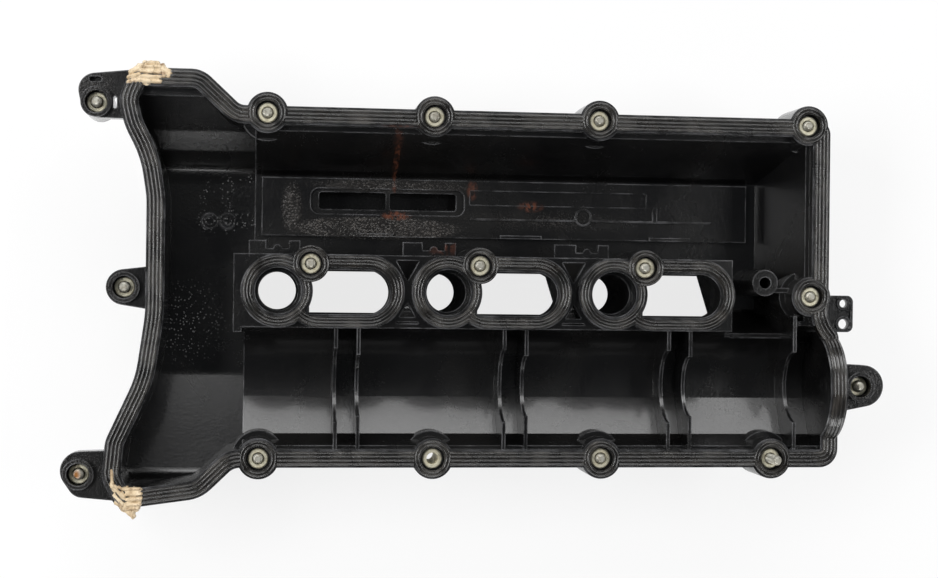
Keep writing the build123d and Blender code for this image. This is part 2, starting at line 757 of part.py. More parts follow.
    # Rim bolt bosses: a neck under the flange and a skirt inside the chamber
    with BuildSketch(Plane.XY.offset(BOSS_BOTTOM_Z)):
        with Locations(*places(RIM_BOLTS)):
            Circle(BOSS_R)
    extrude(amount=GASKET_Z - BOSS_BOTTOM_Z)
    add(rim_skirts())
    # Ears, the two-hole tab and the pin boss
    for name in EAR_BOLTS:
        add(ear(name))
    ear_x, ear_y = EAR_FRONT_TOP
    with BuildSketch(Plane((ear_x, ear_y, EAR_WEB_Z - EAR_POCKET_DEPTH))):
        with Locations(EAR_POCKET):
            SlotOverall(EAR_POCKET_L, EAR_POCKET_W)
    extrude(amount=EAR_POCKET_DEPTH, mode=Mode.SUBTRACT)
    with BuildSketch(Plane((ear_x, ear_y, EAR_WEB_Z - EAR_WEB_T))):
        with Locations((EAR_BOSS_R + EAR_GAP_W / 2 + MERGE / 2, 0)):
            SlotOverall(EAR_GAP_L, EAR_GAP_W, rotation=90)
    extrude(amount=EAR_WEB_T, mode=Mode.SUBTRACT)
    with BuildSketch(Plane.XY.offset(TAB_Z - TAB_T)):
        add(tab_face(0))
    extrude(amount=TAB_T)
    with BuildSketch(Plane.XY.offset(TAB_Z - TAB_RECESS)):
        add(tab_face(TAB_BORDER))
        for hole_y, hole_r in TAB_HOLES:
            with Locations((TAB_HOLE_X, hole_y)):
                Circle(hole_r + TAB_RING_W, mode=Mode.SUBTRACT)
    extrude(amount=TAB_RECESS, mode=Mode.SUBTRACT)
    for hole_y, hole_r in TAB_HOLES:
        with BuildSketch(Plane((TAB_HOLE_X, hole_y, TAB_Z - TAB_T))):
            Circle(hole_r)
        extrude(amount=TAB_T, mode=Mode.SUBTRACT)
    with BuildSketch(Plane((PIN_BOSS[0], PIN_BOSS[1], UPPER_FLOOR_Z))):
        Circle(PIN_BOSS_R)
        Circle(PIN_BOSS_HOLE_R, mode=Mode.SUBTRACT)
    extrude(amount=DECK_Z - UPPER_FLOOR_Z)
    add(link_rib())
    # Holes for the sleeves, with room below the well posts for the bolt heads
    with BuildSketch(Plane.XY):
        with Locations(*places(WELL_BOLTS)):
            Circle(WELL_CUP_R)
    extrude(amount=BOSS_BOTTOM_Z, mode=Mode.SUBTRACT)
    with BuildSketch(Plane.XY.offset(BOSS_BOTTOM_Z)):
        with Locations(*places(BOLTS)):
            Circle(SLEEVE_R)
    extrude(amount=GASKET_Z, mode=Mode.SUBTRACT)
    with BuildSketch(Plane.XY.offset(GASKET_FLOOR_Z)):
        with Locations(*places(RIM_BOLTS + WELL_BOLTS)):
            Circle(RING_HOLE_R)
    extrude(amount=GASKET_DEPTH, mode=Mode.SUBTRACT)
    with BuildSketch(Plane.XY.offset(EAR_SEAT_Z)):
        with Locations(*places(EAR_BOLTS)):
            Circle(EAR_HOLE_R)
    extrude(amount=EAR_HOLE_DEPTH, mode=Mode.SUBTRACT)
    # Grooves for the gaskets
    add(rim_gasket_body(), mode=Mode.SUBTRACT)
    for plug_x in PLUGS_X:
        add(well_gasket_body(plug_x), mode=Mode.SUBTRACT)
cover_shell.part.label = "cover_shell"

with BuildPart() as separator_baffle:
    # Plate over the separator box, with the intake slots in a shallow recess
    with BuildSketch(Plane.XY.offset(UPPER_FLOOR_Z)):
        with Locations((BAFFLE_X0, BAFFLE_Y0)):
            Rectangle(
                BAFFLE_X1 - BAFFLE_X0, BAFFLE_Y1 - BAFFLE_Y0, align=(Align.MIN, Align.MIN)
            )
    extrude(amount=BAFFLE_T)
    baffle_top = UPPER_FLOOR_Z + BAFFLE_T
    recess_x = (RECESS_X0 + RECESS_X1) / 2
    recess_y = (RECESS_Y0 + RECESS_Y1) / 2
    with BuildSketch(Plane.XY.offset(baffle_top - RECESS_DEPTH)):
        with Locations((recess_x, recess_y)):
            RectangleRounded(RECESS_X1 - RECESS_X0, RECESS_Y1 - RECESS_Y0, RECESS_CORNER_R)
    extrude(amount=RECESS_DEPTH, mode=Mode.SUBTRACT)
    slot_l = (RECESS_X1 - RECESS_X0 - 2 * SLOT_INSET - SLOT_BAR) / 2
    slot_w = RECESS_Y1 - RECESS_Y0 - SLOT_INSET
    with BuildSketch(Plane.XY.offset(UPPER_FLOOR_Z)):
        with Locations(
            (recess_x - (slot_l + SLOT_BAR) / 2, recess_y + SLOT_RISE),
            (recess_x + (slot_l + SLOT_BAR) / 2, recess_y + SLOT_RISE),
        ):
            RectangleRounded(slot_l, slot_w, SLOT_CORNER_R)
    extrude(amount=BAFFLE_T, mode=Mode.SUBTRACT)
    # Stepped panel and ridge beyond the slots
    with BuildSketch(Plane.XY.offset(baffle_top - RECESS_DEPTH / 2)):
        with Locations((BAFFLE_RIDGE_X0, BAFFLE_STEP_Y)):
            Rectangle(
                BAFFLE_STEP_X1 - BAFFLE_RIDGE_X0,
                RECESS_Y1 - BAFFLE_STEP_Y,
                align=(Align.MIN, Align.MIN),
            )
    extrude(amount=RECESS_DEPTH / 2, mode=Mode.SUBTRACT)
    with BuildSketch(Plane.XY.offset(baffle_top)):
        with Locations((BAFFLE_RIDGE_X0, BAFFLE_RIDGE_Y)):
            Rectangle(
                BAFFLE_RIDGE_X1 - BAFFLE_RIDGE_X0, RIDGE_W, align=(Align.MIN, Align.CENTER)
            )
        with Locations(BAFFLE_RING):
            Circle(BAFFLE_RING_R)
            Circle(BAFFLE_RING_R - RIDGE_W, mode=Mode.SUBTRACT)
        with Locations((BAFFLE_STEP_X1 + BAFFLE_RING_R, (BAFFLE_STEP_Y + BAFFLE_RIDGE_Y) / 2)):
            SlotOverall(BAFFLE_STEP_Y - BAFFLE_RIDGE_Y, PILL_W, rotation=90)
    extrude(amount=RIDGE_H)
    # Snap tabs along the lower edge
    with BuildSketch(Plane.XY.offset(baffle_top)):
        for tab_x in BAFFLE_TABS_X:
            with Locations((tab_x, BAFFLE_Y0)):
                Rectangle(BAFFLE_TAB_L, BAFFLE_TAB_W, align=(Align.CENTER, Align.MIN))
    extrude(amount=BAFFLE_TAB_H)
separator_baffle.part.label = "separator_baffle"


def sealant(outline):
    """Squeezed sealant on the gasket and over the flange's edge."""
    with BuildPart() as bead:
        with BuildSketch(Plane.XY.offset(SEALANT_LOW_Z)):
            with BuildLine():
                Polyline(*outline, close=True)
            make_face()
        extrude(amount=SEALANT_TOP_Z - SEALANT_LOW_Z)
        chamfer(bead.faces().sort_by(Axis.Z)[-1].edges(), SEALANT_BEVEL)
        with BuildSketch(Plane.XY.offset(SEALANT_LOW_Z - CLEAR)):
            add(rim_face(0))
        extrude(amount=GASKET_Z - SEALANT_LOW_Z + CLEAR, mode=Mode.SUBTRACT)
        add(rim_gasket_body(), mode=Mode.SUBTRACT)
    return bead.part


def sleeve(name):
    """Steel sleeve pressed into a bolt boss, its end standing in a wider hole."""
    x, y = BOLTS[name]
    top_z = EAR_SEAT_Z + SLEEVE_STEP if name in EAR_BOLTS else SLEEVE_TOP_Z
    with BuildPart() as tube:
        with BuildSketch(Plane((x, y, BOSS_BOTTOM_Z))):
            Circle(SLEEVE_R)
            Circle(SLEEVE_BORE_R, mode=Mode.SUBTRACT)
        extrude(amount=top_z - BOSS_BOTTOM_Z)
    return tube.part


def captive_bolt(name, lift):
    """Hex bolt that hangs in its sleeve, with its tip just above the rim."""
    x, y = BOLTS[name]
    if name in EAR_BOLTS:
        tip_z = EAR_TOP_Z + EAR_TIP_PROUD + lift
    else:
        tip_z = GASKET_Z + BOLT_TIP_PROUD + lift
    seat_z = BOSS_BOTTOM_Z - BOLT_END_GAP - BOLT_TRAVEL + lift
    with BuildPart() as bolt:
        with BuildSketch(Plane((x, y, seat_z))):
            Circle(THREAD_R)
        extrude(amount=tip_z - seat_z)
        with BuildSketch(Plane((x, y, seat_z - BOLT_HEAD_H))):
            RegularPolygon(BOLT_HEAD_AF / 2, 6, major_radius=False)
        extrude(amount=BOLT_HEAD_H)
    return bolt.part


def save(piece, name):
    """Label one piece and write its file."""
    piece.label = name
    export_step(piece, f"parts/{name}.step")


def group(pieces):
    """Several separate like solids as one piece."""
    return Compound(children=pieces)


os.makedirs("parts", exist_ok=True)
save(cover_shell.part, "cover_shell")
save(rim_gasket_body(), "rim_gasket")
save(separator_baffle.part, "separator_baffle")
save(sealant(SEALANT_TOP), "sealant_top")
save(sealant(SEALANT_BOTTOM), "sealant_bottom")
for place, plug_x in enumerate(PLUGS_X):
    save(well_gasket_body(plug_x), f"well_gasket_{place + 1}")
for name in BOLTS:
    if name != EMPTY_NAME:
        lift = BOLT_TRAVEL if name == RAISED_NAME else 0.0
        save(captive_bolt(name, lift), name)
SEATED_RIM = [name for name in RIM_BOLTS if name != EMPTY_NAME]
for row, names in {"rim": SEATED_RIM, "well": WELL_BOLTS, "ear": EAR_BOLTS}.items():
    save(group([sleeve(name) for name in names]), f"{row}_sleeves")
save(sleeve(EMPTY_NAME), "empty_sleeve")
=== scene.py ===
import json
import math

import bmesh
import bpy
from mathutils import Matrix, Vector, noise

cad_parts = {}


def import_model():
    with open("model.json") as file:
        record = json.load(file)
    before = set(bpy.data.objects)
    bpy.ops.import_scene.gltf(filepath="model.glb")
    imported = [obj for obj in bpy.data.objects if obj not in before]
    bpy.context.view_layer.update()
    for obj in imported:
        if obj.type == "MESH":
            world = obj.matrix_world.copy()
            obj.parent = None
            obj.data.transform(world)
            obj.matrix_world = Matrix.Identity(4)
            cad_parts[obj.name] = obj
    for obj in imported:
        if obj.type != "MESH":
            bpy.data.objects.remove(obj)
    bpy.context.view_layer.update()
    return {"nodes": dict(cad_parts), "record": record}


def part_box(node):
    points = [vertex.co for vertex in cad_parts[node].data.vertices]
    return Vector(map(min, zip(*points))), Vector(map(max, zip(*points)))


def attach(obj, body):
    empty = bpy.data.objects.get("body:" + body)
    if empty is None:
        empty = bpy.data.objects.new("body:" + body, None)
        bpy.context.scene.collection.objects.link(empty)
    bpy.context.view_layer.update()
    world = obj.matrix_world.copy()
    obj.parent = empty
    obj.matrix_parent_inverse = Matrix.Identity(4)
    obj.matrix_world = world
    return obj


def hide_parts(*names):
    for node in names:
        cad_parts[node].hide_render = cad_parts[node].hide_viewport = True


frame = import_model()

MM = 0.001
NODES = frame["nodes"]
UP = Vector((0, 0, 1))

# Camera at the photograph's viewing angle
CAMERA_AT = (-0.10541, 0.00019, 1.02477)
CAMERA_RIGHT = (0.992369, 0.012125, 0.122702)
CAMERA_DOWN = (0.012291, -0.999924, -0.000601)
CAMERA_FORWARD = (0.122686, 0.002105, -0.992443)
LENS_MM = 63.33
SENSOR_MM = 36.0
VIEW_DEPTH = 20.0

# Plan of the cover's rim in millimetres: its corners and the radius at each
RIM_CORNERS = [
    (-181.5, 125.5), (-142.0, 125.5), (-120.6, 105.6), (228.0, 105.6),
    (228.0, -14.0), (234.5, -22.0), (234.5, -101.4), (-122.0, -101.4),
    (-140.0, -118.8), (-187.0, -125.0), (-196.0, -107.4), (-194.0, -86.0),
    (-177.6, -50.0), (-172.6, -14.0), (-172.6, 52.0), (-176.0, 74.0),
    (-185.2, 92.0), (-189.2, 108.0),
]
RIM_RADII = [9, 16, 7, 9, 14, 8, 11, 9, 22, 9, 14, 16, 60, 90, 60, 60, 40, 18]
RIM_BOLTS = [
    (-105.2, 101.7), (-9.0, 101.7), (88.1, 101.7), (214.7, 101.7),
    (-108.2, -96.2), (-8.1, -96.2), (91.1, -96.2), (193.8, -96.2),
    (217.2, 0.0),
]
EMPTY_SLEEVE = (-8.1, -96.2)

# Wells: plug axes, and places of the bolt and the window's ends from them
PLUGS_X = (-98.0, 0.0, 98.0)
WELL_BOLT = (18.5, 15.7)
WELL_LOBES = (24.0, 51.6)
WINDOW_NEAR_R = 18.4

# Gasket and the half-moon that it climbs over at the end
GASKET_PLANE = 75.0
GASKET_TOP = 76.3
RING_R = 10.0
CAM_Y = -54.0
ARCH_FROM_X = 222.0
ARCH_RISE = 18.0
ARCH_HALF = 28.9
ARCH_R = (ARCH_HALF**2 + ARCH_RISE**2) / (2 * ARCH_RISE)
ARCH_Z = GASKET_PLANE + ARCH_RISE - ARCH_R

# Lips on the gaskets: inset from the rim's edge or radius, width and height
RIM_LIPS = [(2.2, 1.3, 0.8), (4.3, 1.4, 1.0), (6.5, 1.3, 0.8), (8.4, 1.0, 0.6)]
RING_LIPS = [(9.9, 1.1, 0.8), (8.1, 1.1, 0.7)]
WELL_LIPS = [(19.4, 1.2, 0.8), (17.6, 1.3, 1.0), (15.9, 1.1, 0.8)]
LIP_SUNK = 0.5
LIP_FACETS = 7
LIP_STEP = 1.2
CORNER_STEP = 1.6
LEAST_RADIUS = 0.4
SAME_PLACE = 1e-4

# M6 bolt, from its hexagon head at the foot to its dog point
TURNED_SIDES = 48
HEAD_AF = 10.0
HEAD_H = 6.0
HEAD_CORNER_R = HEAD_AF / math.sqrt(3)
HEAD_CHAMFER = 0.5
HEAD_CHAMFER_H = 0.6
HEAD_EDGE_H = 0.4
NECK_R = 3.4
NECK_H = 0.3
SHANK_R = 2.95
THREAD_R = 3.0
THREAD_DEPTH = 0.55
THREAD_PITCH = 1.0
THREAD_LENGTH = 15.0
THREAD_RUN_OUT = 0.3
THREAD_TO_DOG = 0.9
ROWS_PER_TURN = 4
DOG_R = 1.9
DOG_LENGTH = 1.4
DOG_FOOT = 0.25
DOG_CHAMFER = 0.4
DOG_CHAMFER_H = 0.35
SHARP_STEP = 0.1
FLAT_STEP = 0.02

# Steel sleeve in a bolt boss
SLEEVE_R = 5.8
SLEEVE_BORE_R = 3.35
SLEEVE_BEVEL = 0.6
BORE_BEVEL = 0.35
EAR_BOLT_NODES = ("front_bolt_top", "front_bolt_middle", "front_bolt_bottom", "rear_bolt")

# Ridges of old sealant: two ends of each ridge, its width and its height
SEALANT_RIDGES = {
    "sealant_top": [
        ((-180.4, 119.4), (-167.2, 119.8), 8.0, 3.1),
        ((-177.0, 124.4), (-164.8, 124.0), 7.6, 3.2),
        ((-177.0, 125.9), (-165.6, 125.9), 2.9, 4.1),
        ((-176.2, 123.2), (-165.4, 122.9), 2.7, 4.2),
        ((-176.0, 120.4), (-165.6, 120.2), 2.7, 4.1),
        ((-175.6, 117.8), (-165.8, 117.5), 2.6, 3.9),
        ((-165.4, 124.8), (-160.9, 121.9), 5.6, 3.5),
        ((-164.4, 126.6), (-163.8, 121.4), 3.6, 3.7),
        ((-181.8, 122.6), (-178.0, 124.8), 3.4, 3.7),
        ((-183.6, 119.6), (-177.2, 121.3), 2.8, 4.0),
        ((-183.4, 116.9), (-177.0, 118.2), 2.6, 3.7),
        ((-174.6, 128.3), (-167.0, 127.7), 2.8, 3.2),
    ],
    "sealant_bottom": [
        ((-181.0, -115.0), (-175.4, -114.8), 6.0, 3.1),
        ((-180.6, -119.4), (-175.0, -119.0), 7.0, 3.3),
        ((-180.4, -123.2), (-176.2, -122.8), 6.6, 3.2),
        ((-188.4, -113.6), (-182.6, -118.4), 5.4, 3.0),
        ((-186.0, -120.4), (-179.2, -126.4), 5.6, 2.9),
        ((-181.0, -113.2), (-174.6, -113.0), 2.0, 3.6),
        ((-181.6, -116.2), (-173.8, -115.9), 2.6, 4.1),
        ((-181.6, -119.1), (-173.4, -118.7), 2.6, 4.2),
        ((-181.4, -121.8), (-173.8, -121.5), 2.4, 4.1),
        ((-180.4, -124.3), (-175.0, -124.0), 2.4, 3.8),
        ((-180.4, -126.2), (-177.8, -128.8), 3.2, 3.2),
        ((-190.0, -103.2), (-189.6, -110.6), 2.6, 3.6),
        ((-189.6, -111.4), (-183.0, -117.6), 2.8, 3.9),
        ((-188.6, -116.4), (-182.0, -122.8), 2.6, 3.6),
        ((-188.0, -111.6), (-181.6, -113.6), 2.4, 3.4),
    ],
}
SEALANT_CELL = 0.38
SEALANT_MARGIN = 4.0
SEALANT_BASE = 74.15
SEALANT_LEAST = 0.05
SEALANT_BUMPS = 0.25
SEALANT_BUMPS_SCALE = 1.3
RIDGE_WIDTH_SHARE = 0.85
RIDGE_WOBBLE = 0.5
RIDGE_WOBBLE_SCALE = 0.35
RIDGE_SPREAD = 0.3

# Angles in radians past which an edge stays sharp
CREASE = 0.75
TURNED_CREASE = 0.5
SEALANT_CREASE = 1.2

# Moulded rings on the front chamber's floor: centres, and share of the
# radius and height of each ring
FLOOR_Z = 15.0
FLOOR_DISCS = [(-139.2, 41.5), (-128.5, 41.7)]
DISC_R = 4.6
DISC_RINGS = [(1.0, 0.35), (0.55, 0.5)]
DISC_LIP = 0.9
DISC_SUNK = 0.1
DISC_NOTCH = 0.25
NOTCH_EVERY = 3

# Lamps: name, place, width and height in metres, and watts
LAMPS = [
    ("key_top", (0.1, 1.55, 1.18), (2.2, 0.9), 25.0),
    ("fill_bottom", (-0.15, -1.7, 0.50), (2.0, 0.45), 17.0),
    ("side_left", (-1.10, 0.15, 1.25), (1.1, 0.55), 21.0),
    ("high_top", (-0.3, 0.80, 1.45), (0.8, 0.4), 1.4),
    ("side_right", (1.35, 0.1, 1.25), (1.1, 0.35), 12.0),
]
LAMPS_AIM = (0.0, 0.0, 0.05)
WORLD_GREY = (0.058, 0.061, 0.065)
WHITE = (1.0, 1.0, 1.0)
FLOOR_GREY = (0.82, 0.82, 0.82)
FLOOR_SIZE = 6.0
FLOOR_GLOW = 0.8


class Nodes:
    """Short calls for building one material's node tree."""

    def __init__(self, name):
        self.mat = bpy.data.materials.new(name)
        self.mat.use_nodes = True
        self.tree = self.mat.node_tree
        self.tree.nodes.clear()
        self.out = self.tree.nodes.new("ShaderNodeOutputMaterial")
        self.bsdf = self.tree.nodes.new("ShaderNodeBsdfPrincipled")
        self.link(self.bsdf.outputs["BSDF"], self.out.inputs["Surface"])
        self.coord = self.tree.nodes.new("ShaderNodeTexCoord").outputs["Object"]

    def link(self, a, b):
        self.tree.links.new(a, b)

    def set(self, **values):
        for key, value in values.items():
            self.bsdf.inputs[key.replace("_", " ")].default_value = value

    def node(self, kind, **props):
        made = self.tree.nodes.new(kind)
        for key, value in props.items():
            setattr(made, key, value)
        return made

    def noise(self, scale, detail=4.0, rough=0.55, distort=0.0, stretch=None):
        made = self.node("ShaderNodeTexNoise")
        made.inputs["Scale"].default_value = scale
        made.inputs["Detail"].default_value = detail
        made.inputs["Roughness"].default_value = rough
        made.inputs["Distortion"].default_value = distort
        source = self.coord
        if stretch:
            mapping = self.node("ShaderNodeMapping")
            mapping.inputs["Scale"].default_value = stretch
            self.link(source, mapping.inputs["Vector"])
            source = mapping.outputs["Vector"]
        self.link(source, made.inputs["Vector"])
        return made.outputs["Fac"]

    def cells(self, scale, **props):
        made = self.node("ShaderNodeTexVoronoi", **props)
        made.inputs["Scale"].default_value = scale
        self.link(self.coord, made.inputs["Vector"])
        return made.outputs["Distance"]

    def ramp(self, fac, *stops):
        made = self.node("ShaderNodeValToRGB")
        line = made.color_ramp.elements
        while len(line) < len(stops):
            line.new(0.5)
        for element, (place, value) in zip(line, stops):
            element.position = place
            if isinstance(value, (int, float)):
                value = (value, value, value)
            element.color = (*value, 1.0)
        self.link(fac, made.inputs["Fac"])
        return made.outputs["Color"]

    def math(self, operation, a, b, clamp=False):
        made = self.node("ShaderNodeMath", operation=operation, use_clamp=clamp)
        for place, value in enumerate((a, b)):
            if isinstance(value, (int, float)):
                made.inputs[place].default_value = value
            else:
                self.link(value, made.inputs[place])
        return made.outputs["Value"]

    def times(self, a, b, clamp=False):
        return self.math("MULTIPLY", a, b, clamp)

    def mix(self, fac, a, b):
        made = self.node("ShaderNodeMix", data_type="RGBA")
        for place, value in (("Factor", fac), (6, a), (7, b)):
            socket = made.inputs[place]
            if isinstance(value, (int, float)):
                socket.default_value = value
            elif isinstance(value, tuple):
                socket.default_value = (*value, 1.0)
            else:
                self.link(value, socket)
        return made.outputs[2]

    def edges(self, radius_mm):
        """Normal with its sharp edges rounded, so that they catch the light."""
        made = self.node("ShaderNodeBevel", samples=2)
        made.inputs["Radius"].default_value = radius_mm * MM
        return made.outputs["Normal"]

    def ridges(self, reach_mm, sharp, blunt):
        """1 on outer edges, where the solid is thin within a short reach."""
        made = self.node("ShaderNodeAmbientOcclusion", samples=2, inside=True)
        made.inputs["Distance"].default_value = reach_mm * MM
        return self.ramp(made.outputs["AO"], (sharp, 1.0), (blunt, 0.0))

    def bump(self, height, strength, distance, normal=None):
        made = self.node("ShaderNodeBump")
        made.inputs["Strength"].default_value = strength
        made.inputs["Distance"].default_value = distance
        self.link(height, made.inputs["Height"])
        if normal is not None:
            self.link(normal, made.inputs["Normal"])
        return made.outputs["Normal"]

    def blob(self, centre, radii):
        """1 at a place on the part in millimetres, falling to 0 at its edge."""
        mapping = self.node("ShaderNodeMapping", vector_type="TEXTURE")
        mapping.inputs["Location"].default_value = [v * MM for v in centre]
        mapping.inputs["Scale"].default_value = [v * MM for v in radii]
        self.link(self.coord, mapping.inputs["Vector"])
        made = self.node("ShaderNodeTexGradient", gradient_type="SPHERICAL")
        self.link(mapping.outputs["Vector"], made.inputs["Vector"])
        return made.outputs["Fac"]

    def blobs(self, places):
        """The strongest of several blobs, each with its gain."""
        amount = None
        for centre, radii, gain in places:
            here = self.times(self.blob(centre, radii), gain, True)
            amount = here if amount is None else self.math("MAXIMUM", amount, here)
        return amount


# Dirt and rust on the part: centre and radii of each place, and its gain
DUST = [
    ((-40.0, 38.0, 29.0), (56.0, 7.5, 9.0), 6.0),
    ((-90.0, 50.0, 29.0), (7.0, 19.0, 9.0), 2.0),
    ((-30.0, 64.0, 29.0), (60.0, 5.0, 9.0), 1.2),
    ((60.0, 44.0, 29.0), (70.0, 8.0, 9.0), 0.4),
    ((-204.0, 112.0, 72.0), (18.0, 16.0, 8.0), 0.5),
    ((-211.0, -104.0, 72.0), (20.0, 16.0, 8.0), 0.5),
    ((-186.0, 0.0, 72.0), (14.0, 14.0, 8.0), 0.5),
    ((250.0, -53.0, 72.0), (16.0, 18.0, 8.0), 0.5),
]
FLOOR_GRAINS = [
    ((-139.2, 41.5, 15.0), (8.0, 8.0, 4.0), 3.0),
    ((-128.5, 41.7, 15.0), (8.0, 8.0, 4.0), 3.0),
    ((-117.7, 41.7, 15.0), (7.0, 5.0, 4.0), 2.0),
    ((-128.8, 62.0, 15.0), (5.0, 16.0, 4.0), 1.6),
    ((-118.0, 67.0, 15.0), (6.0, 6.0, 4.0), 1.6),
    ((-141.0, 58.0, 15.0), (6.0, 10.0, 4.0), 1.2),
    ((-150.0, -20.0, 15.0), (26.0, 30.0, 6.0), 1.0),
]
RUST = [
    ((-28.6, 76.0, 42.0), (2.0, 28.0, 26.0), 2.4),
    ((-29.0, 94.0, 58.0), (4.0, 14.0, 18.0), 0.8),
    ((-28.0, 99.0, 74.0), (16.0, 6.0, 5.0), 1.2),
    ((-27.0, 46.2, 29.0), (10.0, 3.4, 4.0), 2.6),
    ((19.0, 62.0, 30.0), (4.0, 7.0, 5.0), 1.5),
    ((55.0, 53.0, 29.0), (9.0, 4.0, 4.0), 1.4),
    ((-2.0, 26.0, 67.0), (12.0, 6.0, 4.0), 0.6),
]
BOLT_RUST = [((-209.8, -105.3, 75.0), (3.0, 4.0, 5.0), 1.3)]

# Colours
PLASTIC_DARK = (0.0028, 0.0028, 0.0031)
PLASTIC_LIGHT = (0.0058, 0.0055, 0.0052)
# The next colour is a painted highlight for the plastic's outer edges
PLASTIC_EDGE_HIGHLIGHT = (0.165, 0.165, 0.172)
COKE = (0.085, 0.066, 0.050)
SPECKS = (0.36, 0.36, 0.36)
RUST_RUN = (0.105, 0.036, 0.020)
RUST_BRIGHT = (0.36, 0.15, 0.04)
RUBBER_DARK = (0.0036, 0.0034, 0.0032)
RUBBER_MIDDLE = (0.0085, 0.0070, 0.0058)
RUBBER_BROWN = (0.026, 0.020, 0.014)
# The next colour is a painted highlight for the crests of the rubber lips
RUBBER_CREST_HIGHLIGHT = (0.175, 0.165, 0.150)
SLEEVE_COLOURS = ((0.86, 0.82, 0.64), (0.58, 0.52, 0.36), (0.16, 0.13, 0.07))
BOLT_COLOURS = ((0.50, 0.49, 0.43), (0.30, 0.27, 0.21), (0.12, 0.09, 0.05))
SEALANT_DARK = (0.24, 0.15, 0.075)
SEALANT_TAN = (0.60, 0.47, 0.30)
SEALANT_CREST = (0.80, 0.68, 0.50)
SEALANT_CRACK = (0.10, 0.06, 0.03)
SEALANT_STAIN = (0.20, 0.11, 0.05)


def coke_grains(n):
    """Dry grains of oil coke: thin everywhere, thick where the mist settles."""
    grain = n.ramp(n.cells(760.0), (0.12, 1.0), (0.30, 0.0))
    patches = n.ramp(n.noise(38.0, 6.0, 0.65), (0.56, 0.0), (0.72, 1.0))
    thin = n.times(n.times(grain, patches), 0.35)
    cover = n.ramp(n.noise(90.0, 5.0, 0.7), (0.34, 0.35), (0.56, 1.0))
    fine = n.ramp(n.cells(900.0), (0.1, 1.0), (0.5, 0.15))
    dusty = n.times(n.blobs(DUST), cover)
    return n.math("MAXIMUM", thin, n.times(dusty, fine))


def black_plastic(name):
    """Glossy black moulding under a film of oil, with dry coke and rust marks, and a painted
    highlight on its outer edges.
    """
    n = Nodes(name)
    film = n.noise(22.0, 5.0, 0.6, 0.6)
    base = n.ramp(film, (0.35, PLASTIC_DARK), (0.7, PLASTIC_LIGHT))
    grains = coke_grains(n)
    base = n.mix(n.times(grains, 0.5), base, COKE)
    dots = n.ramp(n.cells(520.0), (0.16, 1.0), (0.30, 0.0))
    coarse = n.times(n.blobs(FLOOR_GRAINS), dots, True)
    base = n.mix(n.times(coarse, 0.6), base, SPECKS)
    # Painted highlight: outer edges lightened to stand in for glints, broken up by noise
    highlight_breakup = n.ramp(n.noise(85.0, 3.0), (0.40, 0.12), (0.62, 1.0))
    painted_highlight = n.times(n.ridges(0.9, 0.62, 0.93), highlight_breakup)
    base = n.mix(n.times(painted_highlight, 0.75), base, PLASTIC_EDGE_HIGHLIGHT)
    # Rust-coloured run marks below the top rim
    flakes = n.noise(380.0, 3.0, 0.6, 0.0, (1.0, 0.6, 0.6))
    rust = n.times(n.ramp(flakes, (0.44, 0.05), (0.58, 1.0)), n.blobs(RUST))
    base = n.mix(rust, base, RUST_RUN)
    n.link(base, n.bsdf.inputs["Base Color"])
    rough = n.ramp(film, (0.3, 0.20), (0.62, 0.29))
    rough = n.mix(n.times(grains, 0.8), rough, (0.75, 0.75, 0.75))
    n.link(rough, n.bsdf.inputs["Roughness"])
    n.set(IOR=1.5, Coat_Weight=0.6, Coat_Roughness=0.13)
    rounded_edges = n.edges(0.5)
    n.link(rounded_edges, n.bsdf.inputs["Coat Normal"])
    normal = n.bump(n.noise(420.0, 2.0, 0.5), 0.14, 0.0006, rounded_edges)
    normal = n.bump(n.noise(650.0, 4.0, 0.7), 0.5, 0.0004, normal)
    normal = n.bump(n.math("MAXIMUM", grains, coarse), 0.5, 0.0005, normal)
    n.link(normal, n.bsdf.inputs["Normal"])
    return n.mat


def rubber(name):
    """Black rubber, worn brown in patches, with a painted highlight lightening its high
    places, under a thin film of oil.
    """
    n = Nodes(name)
    wear = n.noise(55.0, 6.0, 0.65, 0.4)
    base = n.ramp(wear, (0.35, RUBBER_DARK), (0.6, RUBBER_MIDDLE), (0.8, RUBBER_BROWN))
    # Painted highlight: crests of the lips lightened to stand in for glints, broken up by
    # noise
    highlight_breakup = n.ramp(n.noise(75.0, 4.0), (0.46, 0.04), (0.60, 1.0))
    painted_highlight = n.times(n.ridges(0.4, 0.50, 0.78), highlight_breakup)
    base = n.mix(n.times(painted_highlight, 0.7), base, RUBBER_CREST_HIGHLIGHT)
    n.link(base, n.bsdf.inputs["Base Color"])
    n.link(n.ramp(n.noise(90.0, 5.0), (0.3, 0.20), (0.7, 0.40)), n.bsdf.inputs["Roughness"])
    n.set(IOR=1.52, Coat_Weight=0.8, Coat_Roughness=0.06, Coat_IOR=1.6)
    rounded_edges = n.edges(0.45)
    waves = n.bump(n.noise(160.0, 3.0, 0.5), 0.35, 0.0010, rounded_edges)
    n.link(waves, n.bsdf.inputs["Coat Normal"])
    normal = n.bump(n.noise(700.0, 4.0, 0.6), 0.18, 0.0004, rounded_edges)
    n.link(normal, n.bsdf.inputs["Normal"])
    return n.mat


def zinc(name, light, dark, stain, rust=()):
    """Dull zinc plate with darker stains, rusted at some places."""
    n = Nodes(name)
    tone = n.noise(240.0, 6.0, 0.65, 0.8)
    base = n.ramp(tone, (0.3, dark), (0.55, light))
    dirt = n.ramp(n.noise(420.0, 5.0, 0.6), (0.52, 0.0), (0.72, 1.0))
    base = n.mix(n.times(dirt, 0.65), base, stain)
    if rust:
        base = n.mix(n.blobs(rust), base, RUST_BRIGHT)
    n.link(base, n.bsdf.inputs["Base Color"])
    n.link(n.ramp(tone, (0.3, 0.5), (0.7, 0.32)), n.bsdf.inputs["Roughness"])
    n.set(Metallic=0.6, IOR=1.6)
    n.link(n.bump(n.noise(1500.0, 3.0), 0.25, 0.0001, n.edges(0.25)), n.bsdf.inputs["Normal"])
    return n.mat


